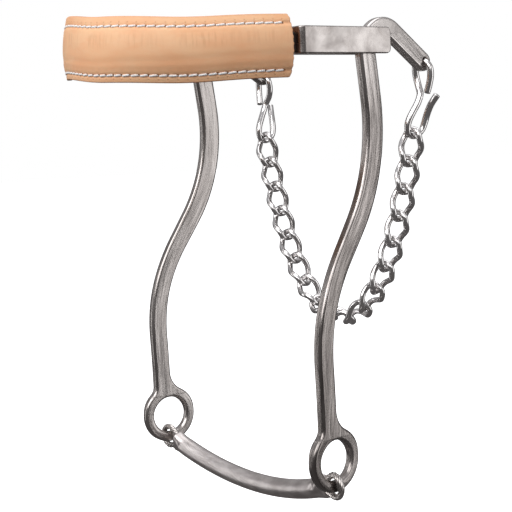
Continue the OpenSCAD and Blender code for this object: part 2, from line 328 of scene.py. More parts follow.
def leather_material(name, face, deep, edge, inner=False):
    """vegetable-tanned leather. attribute band: along, height, face (metres; face is 1 on the shown side)"""
    n = Net(name)
    at = n.attr("band")
    s, z, f = n.sep(at)
    az = n.math("ABSOLUTE", z)
    upper = n.math("GREATER_THAN", z, 0.0)
    row = n.math("ADD", ROW_LO * MM, n.math("MULTIPLY", upper, (ROW_UP - ROW_LO) * MM))
    p = STITCH * MM
    obj = n.obj()
    # soft colour clouds, stretched along the strap
    cloud = n.noise(n.mapping(at, scale=(1, 2.2, 1)), 32, 4, 0.55, 0.3)
    fine = n.noise(n.mapping(at, scale=(1, 1.6, 1)), 260, 5, 0.62)
    col = n.mix(n.ramp(cloud, 0.3, 0.7), face, deep)
    col = n.mix(n.ramp(fine, 0.35, 0.72, 0.0, 0.22), col, deep)
    # painted shade: a darker run low on the padded face, along its fold below the middle
    low_fold_shade = n.math("MULTIPLY", n.ramp(z, -0.0135, -0.0095), n.ramp(z, -0.0045, -0.0085))
    col = n.mix(n.math("MULTIPLY", low_fold_shade, 0.15), col, edge)
    # creases across the strap on the upper half, with painted shade in them
    wr = n.noise(n.mapping(at, scale=(1, 0.10, 1)), 520, 2, 0.5, 0.15)
    wmask = n.math("MULTIPLY", n.ramp(z, -0.001, 0.004), n.ramp(z, 0.0105, 0.0075))
    wmask = n.math("MULTIPLY", wmask, n.ramp(n.noise(n.mapping(at, scale=(1, 0.2, 1)), 40, 2), 0.35, 0.6))
    col = n.mix(n.math("MULTIPLY", n.math("MULTIPLY", n.ramp(wr, 0.45, 0.62), wmask), 0.20), col, edge)
    # awl holes under the stitches and a row of prick marks outside them, painted darker as shade in them: the holes
    # near-black
    ph = n.math("MULTIPLY", n.math("SUBTRACT", n.math("FRACT", n.math("ADD", n.math("DIVIDE", s, p), 100.0)), 0.5), p)
    d1 = n.math("SQRT", n.math("ADD", n.math("POWER", ph, 2.0), n.math("POWER", n.math("SUBTRACT", az, row), 2.0)))
    hole = n.ramp(d1, 0.00095, 0.0004)
    d2 = n.math("SQRT", n.math("ADD", n.math("POWER", ph, 2.0), n.math("POWER", n.math("SUBTRACT", az, n.math("ADD", row, 0.0024)), 2.0)))
    prick = n.ramp(d2, 0.0007, 0.0003)
    col = n.mix(n.math("MULTIPLY", hole, 0.9), col, (0.10, 0.03, 0.02, 1))
    if not inner:
        col = n.mix(n.math("MULTIPLY", prick, 0.30), col, edge)
    # groove shade along each row
    groove = n.math("MULTIPLY", n.ramp(n.math("ABSOLUTE", n.math("SUBTRACT", az, n.math("ADD", row, 0.00015))), 0.0016, 0.0003), 0.16)
    col = n.mix(groove, col, edge)
    # burnished edge
    rim = n.ramp(f, 0.9, 0.2)
    col = n.mix(n.math("MULTIPLY", rim, 0.85), col, edge)
    n.link(col, n.bsdf.inputs["Base Color"])
    n.bsdf.inputs["Roughness"].default_value = 0.55
    n.link(n.ramp(fine, 0.3, 0.7, 0.46, 0.62), n.bsdf.inputs["Roughness"])
    n.bsdf.inputs["Specular IOR Level"].default_value = 0.32
    n.bsdf.inputs["Sheen Weight"].default_value = 0.06
    n.bsdf.inputs["Subsurface Weight"].default_value = 0.04
    n.bsdf.inputs["Subsurface Radius"].default_value = (0.002, 0.001, 0.0006)
    b = n.bump(n.math("MULTIPLY", wr, wmask), 0.38, 0.0004)
    cell = n.voronoi(n.mapping(at, scale=(1, 1.3, 1)), 1500, "F1")
    b = n.bump(cell, 0.10, 0.00012, b)
    b = n.bump(n.noise(at, 2600, 3), 0.12, 0.0001, b)
    b = n.bump(n.math("SUBTRACT", 1.0, n.math("MAXIMUM", n.math("MULTIPLY", hole, 1.0), n.math("MULTIPLY", prick, 0.6))), 0.6, 0.0004, b)
    n.link(b, n.bsdf.inputs["Normal"])
    return n.mat


def thread_material():
    n = Net("waxed_thread")
    o = n.obj()
    v = n.noise(o, 900, 3)
    col = n.mix(n.ramp(v, 0.35, 0.7), rgb(255, 255, 255), rgb(246, 242, 243))
    n.link(col, n.bsdf.inputs["Base Color"])
    n.bsdf.inputs["Roughness"].default_value = 0.6
    n.bsdf.inputs["Sheen Weight"].default_value = 0.2
    w = n.add("ShaderNodeTexWave", wave_type="BANDS", bands_direction="DIAGONAL")
    n.link(o, w.inputs["Vector"])
    w.inputs["Scale"].default_value = 900
    n.link(n.bump(w.outputs["Fac"], 0.4, 0.0002), n.bsdf.inputs["Normal"])
    return n.mat


def webbing_material():
    n = Net("black_core")
    o = n.obj()
    w = n.add("ShaderNodeTexWave", wave_type="BANDS", bands_direction="Z")
    n.link(o, w.inputs["Vector"])
    w.inputs["Scale"].default_value = 420
    v = n.noise(o, 700, 4)
    col = n.mix(n.ramp(v, 0.3, 0.7), (0.018, 0.016, 0.016, 1), (0.05, 0.045, 0.045, 1))
    n.link(col, n.bsdf.inputs["Base Color"])
    n.bsdf.inputs["Roughness"].default_value = 0.5
    b = n.bump(w.outputs["Fac"], 0.25, 0.0003)
    n.link(n.bump(v, 0.2, 0.0002, b), n.bsdf.inputs["Normal"])
    return n.mat


STITCH = 5.6
ROW_UP, ROW_LO = 13.1, 14.9

M_SHANK = steel("satin_forged_steel", rgb(200, 194, 191), rgb(158, 152, 149), (0.17, 0.30), "flow", 0.5, 26, 0.10, 16)
# near (left) cheek: a darker copy of the forged steel as painted shade, with a painted highlight on the arm and crook
M_NEAR_PAINTED_SHADE_AND_HIGHLIGHT = steel("forged_steel_painted_shade_and_highlight", rgb(184, 177, 174), rgb(128, 122, 119), (0.17, 0.30), "flow", 0.6, 26, 0.10, 20, painted_highlight=(rgb(222, 216, 213), rgb(190, 184, 181)))
M_PLATE = steel("bracket_steel", rgb(206, 200, 197), rgb(160, 153, 150), (0.22, 0.36), None, 0.55, 42, 0.05, 46)
M_WIRE = steel("polished_wire", rgb(240, 238, 238), rgb(222, 219, 218), (0.10, 0.20), None, 0.25, 160, 0.05, 120)
M_RIVET = steel("rivet_steel", rgb(215, 211, 209), rgb(186, 181, 178), (0.2, 0.34), None, 0.3, 120, 0.06, 90)
M_LEATHER = leather_material("russet_leather", rgb(255, 205, 161), rgb(252, 190, 143), rgb(200, 130, 86))
M_LINING = leather_material("lining_leather", rgb(232, 190, 156), rgb(214, 165, 126), rgb(168, 108, 74), True)
M_THREAD = thread_material()
M_CORE = webbing_material()

# ------------------------------------------------------------------ noseband
FRONT_R, FRONT_HALF, SIDE_R, LEATHER_END = 72.0, 50.0, 155.0, 12.6
TURN_END = 12.3
FRONT_C = np.array([0.0, -79.5])
LEN_FRONT = FRONT_R * rad(2 * FRONT_HALF)
LEN_SIDE = SIDE_R * rad(90 - FRONT_HALF - LEATHER_END)
HALF = LEN_FRONT / 2 + LEN_SIDE
H2 = 19.0
Z0 = -2.3
CROWN = 4.5
CROWN_R = (H2 * H2 + CROWN * CROWN) / (2 * CROWN)


def band_at(s):
    """point on the edge line and outward normal, s from the front's middle, positive to the left (+X)"""
    a = abs(s)
    if a <= LEN_FRONT / 2:
        t = a / FRONT_R
        n = np.array([sin(t), -cos(t)])
        p = FRONT_C + FRONT_R * n
    else:
        t0 = rad(FRONT_HALF)
        c = FRONT_C + (FRONT_R - SIDE_R) * np.array([sin(t0), -cos(t0)])
        t = t0 + (a - LEN_FRONT / 2) / SIDE_R
        n = np.array([sin(t), -cos(t)])
        p = c + SIDE_R * n
    if s < 0:
        return np.array([-p[0], p[1]]), np.array([-n[0], n[1]])
    return p, n


def ease(t):
    t = min(max(t, 0.0), 1.0)
    return t * t * (3 - 2 * t)


def sag(s):
    """rise and dip of the strap along its length; the right half rides a little higher than the left"""
    u = min(abs(s) / HALF, 1.0)
    z = 2.0 * math.exp(-((u / 0.30) ** 2)) - 1.3 * math.exp(-(((u - 0.56) / 0.2) ** 2))
    if s > -40:
        return z + 5.2 * ease((22 - s) / 62)
    return z + 5.2 + 2.6 * ease((-40 - s) / 35)


def draw_in(s):
    """the front sits slightly flatter than a true arc"""
    return -3.9 * math.exp(-(((s + 22) / 52) ** 2))


def swell(s):
    """how full the padding is along the strap"""
    return 1 - 0.62 * math.exp(-(((s + 22) / 55) ** 2))


def height(z, s):
    """the upper edge comes down a little towards the ends"""
    if z > 0:
        return z * (1 - 0.085 * ease((abs(s) - 20) / (HALF - 20)))
    return z * (1 - 0.13 * ease((-38 - s) / 20))


def on_band(s, z, x):
    """point of the strap: s along, z up, x outward from its edge line"""
    p, nn = band_at(s)
    q = p + nn * (x + draw_in(s) * (1 + 0.013 * z))
    return (q[0], q[1], Z0 + height(z, s) + sag(s))


def crown(z):
    return CROWN - CROWN_R + math.sqrt(max(CROWN_R ** 2 - z * z, 0.0))


def outer_x(z, s):
    """face of the cover: a padded crown between the rows, flat flanges outside them, each row sunk"""
    a = abs(z)
    row = ROW_UP if z > 0 else ROW_LO
    x = crown(z) * swell(s)
    if a < row:
        x += 0.5 * math.sqrt(1 - (a / row) ** 2)
    x -= 0.6 * math.exp(-(((a - row) / 1.2) ** 2))
    # padding lies unevenly, with soft puckers running in from each row
    x += 0.16 * sin(s * 0.21 + z * 0.05) * max(0.0, 1 - a / 14)
    x += 0.09 * sin(s * 2 * pi / STITCH) * math.exp(-(((a - row + 2.2) / 1.5) ** 2))
    # one long shallow fold below the middle
    x -= 0.18 * math.exp(-(((z + 6.4 + 0.9 * sin(s * 0.035 + 1)) / 2.1) ** 2))
    x += 0.10 * math.exp(-(((z + 9.6) / 1.8) ** 2))
    return x


def band_solid(name, section, mat, step, rim, cut):
    """sweeps a closed section (list of (z, function of s -> x, face value)) along the band, with rounded ends"""
    n_st = int(round(2 * (HALF - rim) / step))
    stations = [(-HALF, 1.0), (-HALF + rim * 0.3, 0.45), (-HALF + rim, 0.0)]
    stations += [(-HALF + rim + (2 * (HALF - rim)) * k / n_st, 0.0) for k in range(1, n_st)]
    stations += [(HALF - rim, 0.0), (HALF - rim * 0.3, 0.45), (HALF, 1.0)]
    zs = [q[0] for q in section]
    xs0 = [q[1](0.0) for q in section]
    xm = 0.5 * (max(xs0) + min(xs0)) if False else None
    V, A = [], []
    m = len(section)
    for s0, inset in stations:
        base = [(z, fx(s0)) for z, fx, f in section]
        for i, (z, fx, f) in enumerate(section):
            x = base[i][1]
            if inset:
                # pull the rim's points in towards the middle of the wall
                xo = max(base[j][1] for j in range(m) if abs(base[j][0] - z) < 1.2)
                xi = min(base[j][1] for j in range(m) if abs(base[j][0] - z) < 1.2)
                mid = 0.5 * (xo + xi)
                x += (1 if x < mid else -1) * min(rim * 0.8, abs(x - mid)) * inset
                z = z - math.copysign(min(rim * 0.8, abs(z)) * inset * (abs(z) / H2) ** 6, z)
            c = cut * (abs(z) / H2) ** 8
            s = s0 * (1 - c / HALF)
            V.append(on_band(s, z, x))
            A.append((s * MM, z * MM, f * (1 - inset * 0.9)))
    F = []
    k = len(stations)
    for i in range(k - 1):
        for j in range(m):
            l = (j + 1) % m
            F.append((i * m + j, i * m + l, (i + 1) * m + l, (i + 1) * m + j))
    F.append(tuple(range(m))[::-1])
    F.append(tuple((k - 1) * m + j for j in range(m)))
    o = mesh_object(name, V, F, mat)
    vec_attr(o, "band", A)
    bm = bmesh.new()
    bm.from_mesh(o.data)
    bmesh.ops.triangulate(bm, faces=[f for f in bm.faces if len(f.verts) > 4])
    bmesh.ops.recalc_face_normals(bm, faces=bm.faces)
    bm.to_mesh(o.data)
    bm.free()
    return o


def cover_section():
    sec = []
    zs = [-18.2 + 36.4 * k / 70 for k in range(71)]
    # shown face, bottom to top
    for z in zs:
        sec.append((z, (lambda s, z=z: outer_x(z, s)), 1.0))
    x0 = crown(18.2)
    # rolled upper edge
    for a in (25, 50, 75):
        sec.append((18.2 + 0.8 * sin(rad(a)), (lambda s, a=a: x0 * swell(s) - 0.8 * (1 - cos(rad(a)))), 0.75 - a / 200))
    sec.append((19.0, lambda s: x0 * swell(s) - 1.4, 0.2))
    sec.append((19.0, lambda s: -2.6, 0.1))
    sec.append((18.8, lambda s: -3.1, 0.0))
    sec.append((18.5, lambda s: -3.38, 0.0))
    for k in range(1, 9):
        sec.append((18.5 - 37.0 * k / 9, lambda s: -3.38, 0.0))
    sec.append((-18.5, lambda s: -3.38, 0.0))
    sec.append((-18.8, lambda s: -3.1, 0.0))
    sec.append((-19.0, lambda s: -2.6, 0.1))
    sec.append((-19.0, lambda s: x0 * swell(s) - 1.4, 0.2))
    for a in (75, 50, 25):
        sec.append((-18.2 - 0.8 * sin(rad(a)), (lambda s, a=a: x0 * swell(s) - 0.8 * (1 - cos(rad(a)))), 0.75 - a / 200))
    return sec


def lining_section():
    sec = []
    t0, t1 = -5.4, -3.42
    for k in range(57):
        z = -17.9 + 35.8 * k / 56
        sec.append((z, (lambda s, z=z: t0 + 0.4 * math.exp(-(((abs(z) - (ROW_UP if z > 0 else ROW_LO)) / 1.0) ** 2)) + 0.05 * sin(s * 0.3 + z)), 1.0))
    for a in (30, 60, 90):
        sec.append((17.9 + 0.7 * sin(rad(a)), (lambda s, a=a: t0 + 0.7 * (1 - cos(rad(a)))), 0.7 - a / 180))
    sec.append((18.6, lambda s: t1 - 0.3, 0.0))
    sec.append((18.3, lambda s: t1, 0.0))
    for k in range(1, 6):
        sec.append((18.3 - 36.6 * k / 6, lambda s: t1, 0.0))
    sec.append((-18.3, lambda s: t1, 0.0))
    sec.append((-18.6, lambda s: t1 - 0.3, 0.0))
    for a in (90, 60, 30):
        sec.append((-17.9 - 0.7 * sin(rad(a)), (lambda s, a=a: t0 + 0.7 * (1 - cos(rad(a)))), 0.7 - a / 180))
    return sec


cover = band_solid("noseband_sleeve", cover_section(), M_LEATHER, 0.8, 0.7, 1.0)
lining = band_solid("noseband_inner", lining_section(), M_LINING, 1.1, 0.6, 1.0)
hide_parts("noseband_cover", "noseband_pad")
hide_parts("noseband_lining")


def stitches(name, side):
    """each stitch is its own short length of thread that dives into its two holes"""
    parts = []
    row = ROW_UP if side > 0 else ROW_LO
    k0 = int((HALF - 4) / STITCH)
    for face in (1, -1):
        for k in range(-k0, k0):
            sa, sb = k * STITCH + 0.5 * STITCH, (k + 1) * STITCH + 0.5 * STITCH
            g = rnd.uniform(0.75, 1.05)
            tilt = rnd.uniform(0.10, 0.32)
            pts = []
            for t in (0.0, 0.07, 0.16, 0.3, 0.5, 0.7, 0.84, 0.93, 1.0):
                s = sa + g * 0.5 + (STITCH - g) * t
                lift = -0.75 + 1.05 * min(1.0, sin(pi * t) * 1.9)
                z = side * row + tilt * (t - 0.5) * 2 * (1 if face > 0 else -1)
                x = (outer_x(z, s) + lift) if face > 0 else (-5.0 - lift)
                pts.append(on_band(s, z, x))
            parts.append(tube(spline(pts, 0.35), 0.66, 10))
    V, F = merge(parts)
    o = mesh_object(name, V, F, M_THREAD)
    return o


st_up = stitches("stitching_upper", 1)
st_lo = stitches("stitching_lower", -1)
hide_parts("stitch_upper")
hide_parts("stitch_lower")
for o in (cover, lining, st_up, st_lo):
    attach(o, "noseband")



def make_core():
    """flat core inside the leather: rides with it, and comes back to the brackets' height at both ends"""
    end_a = rad(TURN_END)
    half = LEN_FRONT / 2 + SIDE_R * rad(90 - FRONT_HALF - TURN_END)
    rows = []
    n = 90
    for k in range(n + 1):
        s = -half + 2 * half * k / n
        p, nn = band_at(s)
        hold = ease((half - abs(s)) / 45)
        q = p + nn * (-1.9 + draw_in(s) * hold)
        rows.append((q, nn, Z0 + sag(s) * hold, -6.8, 6.8, 1.3))
    for end, sg in ((rows[0], -1), (rows[-1], 1)):
        q, nn = end[0], end[1]
        t = np.array([nn[1], -nn[0]]) * -1.0
        t = t * (1 if t[1] > 0 else -1)
        more = [(q + t * d, nn, Z0, lo, hi, 1.3) for d, lo, hi in ((0.2, -6.8, 6.8), (0.5, -6.7, 6.75), (0.55, -4.4, 6.7), (1.4, -4.4, 6.7), (16.4, -4.4, 6.7))]
        rows = more[::-1] + rows if sg < 0 else rows + more
    V, F = [], []
    c = 0.35
    m = 8
    for q, nn, z, lo, hi, w in rows:
        for x, y in ((-w, lo + c), (-w + c, lo), (w - c, lo), (w, lo + c), (w, hi - c), (w - c, hi), (-w + c, hi), (-w, hi - c)):
            V.append((q[0] + nn[0] * x, q[1] + nn[1] * x, z + y))
    for i in range(len(rows) - 1):
        for j in range(m):
            l = (j + 1) % m
            F.append((i * m + j, i * m + l, (i + 1) * m + l, (i + 1) * m + j))
    F.append(tuple(range(m))[::-1])
    F.append(tuple((len(rows) - 1) * m + j for j in range(m)))
    o = mesh_object("strap_core", V, F, M_CORE)
    outward(o)
    smooth_angle(o, 30)
    return o


core = make_core()
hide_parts("noseband_core")
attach(core, "noseband")

# ------------------------------------------------------------------ cheeks
CHEEK_X, TOE = 87.0, rad(5.0)
CROOK_C, CROOK_R, CROOK_A0 = np.array([14.3, -7.2]), 15.7, 56.2
LEAN, SWEEP, R_UP, R_LOW, ARM = 7.5, 33.0, 115.0, 122.0, 33.0
CW, CT = 12.1, 6.6
RING_R, RING_S = 16.25, 3.75


def arc(c, r, a0, a1, step=1.2):
    n = max(int(abs(rad(a1 - a0)) * r / step), 3)
    return [c + r * np.array([cos(rad(a0 + (a1 - a0) * k / n)), sin(rad(a0 + (a1 - a0) * k / n))]) for k in range(n + 1)]


u = lambda a: np.array([cos(rad(a)), sin(rad(a))])
arm_a = CROOK_C + CROOK_R * u(CROOK_A0)
arm_b = arm_a + ARM * np.array([sin(rad(CROOK_A0)), -cos(rad(CROOK_A0))])
q0 = CROOK_C + CROOK_R * u(180 + LEAN)
q1 = q0 + 24.6 * np.array([sin(rad(LEAN)), -cos(rad(LEAN))])
c_up = q1 - R_UP * u(LEAN)
q2 = c_up + R_UP * u(-SWEEP)
q3 = q2 + 20 * np.array([-sin(rad(SWEEP)), -cos(rad(SWEEP))])
c_low = q3 + R_LOW * u(-SWEEP)
q4 = c_low - np.array([R_LOW, 0])
RC = np.array([-41.9, -251.5])


def edge_run(off):
    """offset of the cheek's middle line, arm end to ring; off > 0 is the outer (front, upper) side"""
    pts = []
    nrm = lambda h: np.array([cos(rad(CROOK_A0)), sin(rad(CROOK_A0))])
    pts += [arm_b + off * u(CROOK_A0) + (arm_a - arm_b) * k / 12 for k in range(12)]
    pts += arc(CROOK_C, CROOK_R + off, CROOK_A0, 180 + LEAN)
    n_lean = u(180 + LEAN)
    pts += [q0 + n_lean * off + (q1 - q0) * k / 8 for k in range(1, 8)]
    pts += arc(c_up, R_UP - off, LEAN, -SWEEP)
    n_sw = u(180 - SWEEP)
    pts += [q2 + n_sw * off + (q3 - q2) * k / 6 for k in range(1, 6)]
    pts += arc(c_low, R_LOW + off, 180 - SWEEP, 180)
    return pts


def cheek_outline():
    hw = CW / 2
    R = RING_R + RING_S
    front, rear = 8.0, 15.0
    xf, xr = q4[0] - hw, q4[0] + hw
    # front fillet
    fx = xf - front
    fy = RC[1] + math.sqrt((R + front) ** 2 - (RC[0] - fx) ** 2)
    fa = math.degrees(math.atan2(RC[1] - fy, RC[0] - fx))
    rx = xr + rear
    ry = RC[1] + math.sqrt((R + rear) ** 2 - (rx - RC[0]) ** 2)
    ra = math.degrees(math.atan2(RC[1] - ry, RC[0] - rx)) % 360
    out = edge_run(hw)
    out += [np.array([xf, y]) for y in np.linspace(out[-1][1], fy, 10)[1:-1]]
    out += arc(np.array([fx, fy]), front, 0, fa, 0.9)
    a0 = math.degrees(math.atan2(fy - RC[1], fx - RC[0]))
    a1 = math.degrees(math.atan2(ry - RC[1], rx - RC[0])) + 360
    out += arc(RC, R, a0, a1, 1.1)[1:-1]
    out += arc(np.array([rx, ry]), rear, ra, 180, 0.9)
    inner = edge_run(-hw)
    out += [np.array([xr, y]) for y in np.linspace(ry, inner[-1][1], 12)[1:-1]]
    out += inner[::-1]
    # rounded end of the arm
    out += arc(arm_b, hw, CROOK_A0 - 180, CROOK_A0, 0.8)[1:-1]
    return out


def centre_line():
    c = edge_run(0.0)
    c += [np.array([q4[0], y]) for y in np.linspace(q4[1], RC[1] - 18, 30)[1:]]
    return np.array(c)


def plate(name, outline, holes, thick, r, mat, res=5):
    """a plate with rounded edges from a flat outline and its holes, in its own plane"""
    cu = bpy.data.curves.new(name, "CURVE")
    cu.dimensions = "2D"
    cu.fill_mode = "BOTH"
    cu.extrude = (thick / 2 - r) * MM
    cu.bevel_depth = r * MM
    cu.bevel_resolution = res
    cu.offset = -r * MM

    def area(p):
        p = np.array(p)
        return 0.5 * np.sum(p[:, 0] * np.roll(p[:, 1], -1) - p[:, 1] * np.roll(p[:, 0], -1))

    for i, pts in enumerate([outline] + holes):
        ccw = area(pts) > 0
        if ccw == (i > 0):
            pts = pts[::-1]
        clean = [pts[0]]
        for p in pts[1:]:
            if np.linalg.norm(p - clean[-1]) > 0.05:
                clean.append(p)
        if np.linalg.norm(clean[0] - clean[-1]) < 0.05:
            clean.pop()
        sp = cu.splines.new("POLY")
        sp.points.add(len(clean) - 1)
        for q, p in zip(sp.points, clean):
            q.co = (p[0] * MM, p[1] * MM, 0, 1)
        sp.use_cyclic_u = True
    co = bpy.data.objects.new(name + "_c", cu)
    bpy.context.scene.collection.objects.link(co)
    dg = bpy.context.evaluated_depsgraph_get()
    me = bpy.data.meshes.new_from_object(co.evaluated_get(dg))
    bpy.data.objects.remove(co)
    bpy.data.curves.remove(cu)
    me.name = name
    o = bpy.data.objects.new(name, me)
    bpy.context.scene.collection.objects.link(o)
    me.materials.clear()
    me.materials.append(mat)
    outward(o)
    return o


def drill(o, centre, r, depth=12, seg=40):
    """round hole across the plate, at a point of its plane"""
    me = bpy.data.meshes.new("drill")
    bm = bmesh.new()
    bmesh.ops.create_cone(bm, cap_ends=True, segments=seg, radius1=r * MM, radius2=r * MM, depth=depth * MM)
    bm.to_mesh(me)
    bm.free()
    d = bpy.data.objects.new("drill", me)
    d.location = (centre[0] * MM, centre[1] * MM, 0)
    bpy.context.scene.collection.objects.link(d)
    mod = o.modifiers.new("hole", "BOOLEAN")
    mod.object = d
    mod.operation = "DIFFERENCE"
    mod.solver = "EXACT"
    apply_mods(o)
    bpy.data.objects.remove(d)


def apply_mods(o):
    dg = bpy.context.evaluated_depsgraph_get()
    me = bpy.data.meshes.new_from_object(o.evaluated_get(dg))
    o.modifiers.clear()
    old = o.data
    o.data = me
    bpy.data.meshes.remove(old)


def to_cheek(o, side):
    """from the cheek's own plane (x rearward, y up) to the row frame, left (+1) or right (-1)"""
    v = np.empty(len(o.data.vertices) * 3)
    o.data.vertices.foreach_get("co", v)
    v = v.reshape(-1, 3)
    x, y, t = v[:, 0], v[:, 1], v[:, 2]
    X = CHEEK_X * MM + t * cos(TOE) - x * sin(TOE)
    Y = x * cos(TOE) + t * sin(TOE)
    w = np.stack([side * X, Y, y], 1)
    o.data.vertices.foreach_set("co", w.ravel())
    outward(o)


ring_in = [RC + (RING_R - RING_S) * u(a) for a in np.linspace(0, 360, 73)[:-1]]
CL = centre_line()
CLS = np.concatenate([[0], np.cumsum(np.linalg.norm(np.diff(CL, axis=0), axis=1))])


def flow_attr(o):
    """along and across the forging, for the polishing streaks"""
    n = len(o.data.vertices)
    v = np.empty(n * 3)
    o.data.vertices.foreach_get("co", v)
    v = v.reshape(-1, 3)
    P = v[:, :2] / MM
    d = np.linalg.norm(P[:, None, :] - CL[None], axis=2)
    i = d.argmin(1)
    s = CLS[i]
    j = np.clip(i + 1, 0, len(CL) - 1)
    h = np.clip(i - 1, 0, len(CL) - 1)
    T = CL[j] - CL[h]
    T /= np.linalg.norm(T, axis=1)[:, None]
    D = P - CL[i]
    al = (D * T).sum(1)
    ac = D[:, 0] * -T[:, 1] + D[:, 1] * T[:, 0]
    # round the ring, the flow follows the stock
    R = P - RC
    rr = np.linalg.norm(R, axis=1)
    onring = (rr < 20.6) & (R[:, 1] < 14)
    ang = np.arctan2(R[:, 0], -R[:, 1])
    s = np.where(onring, 400 + ang * 16.25, s + al)
    ac = np.where(onring, rr - 16.25, ac)
    vec_attr(o, "flow", np.stack([s * MM, ac * MM, v[:, 2]], 1))


def round_ring(o):
    """the flat stock is drawn down to round wire on its way about the ring"""
    for v in o.data.vertices:
        x, y, t = v.co.x / MM - RC[0], v.co.y / MM - RC[1], v.co.z / MM
        rr = math.hypot(x, y)
        if rr > RING_R + RING_S + 1.0 or y > 12:
            continue
        w = ease((11 - y) / 11)
        rho = rr - RING_R
        m = math.hypot(rho, t)
        if m < 1e-3:
            continue
        k = 1 + w * (RING_S / m - 1)
        r2 = RING_R + rho * k
        v.co.x, v.co.y, v.co.z = (RC[0] + x * r2 / rr) * MM, (RC[1] + y * r2 / rr) * MM, t * k * MM


def hand_forge(o):
    """visual only, against the CAD outline: broader near the pivot, lower bend a touch forward"""
    n = len(o.data.vertices)
    v = np.empty(n * 3)
    o.data.vertices.foreach_get("co", v)
    v = v.reshape(-1, 3)
    P = v[:, :2] / MM
    d = np.linalg.norm(P[:, None, :] - CL[None], axis=2)
    D = P - CL[d.argmin(1)]
    t = np.clip((P[:, 1] + 165) / 75, 0, 1)
    grow = 0.15 * t * t * (3 - 2 * t) * np.clip((2 - P[:, 1]) / 12, 0, 1) * (P[:, 0] < 18)
    P = P + D * grow[:, None]
    P[:, 0] -= 1.5 * np.exp(-(((P[:, 1] + 165) / 36) ** 2))
    v[:, :2] = P * MM
    o.data.vertices.foreach_set("co", v.ravel())
    o.data.update()


def make_cheek(side, name):
    # the near (left) cheek takes the steel copy with painted shade and painted highlight
    o = plate(name, cheek_outline(), [ring_in], CT, 1.9, M_NEAR_PAINTED_SHADE_AND_HIGHLIGHT if side > 0 else M_SHANK, 5)
    round_ring(o)
    hand_forge(o)
    drill(o, arm_b, 3.05)
    drill(o, np.array([0.0, 0.0]), 3.25)
    flow_attr(o)
    to_cheek(o, side)
    smooth_angle(o, 35)
    m = o.modifiers.new("wn", "WEIGHTED_NORMAL")
    m.keep_sharp = True
    m.weight = 80
    return o


cheeks = {}
for side, nm in ((1, "left"), (-1, "right")):
    c = make_cheek(side, nm + "_shank")
    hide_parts(nm + "_cheek")
    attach(c, nm + "_cheek")
    cheeks[nm] = c

# ------------------------------------------------------------------ brackets
LEG_IN, LEG_OUT = 79.2, 91.0
FACE = 94.0
FRONT_Y, REAR_Y = -56.4, 14.0
BH = 16.0


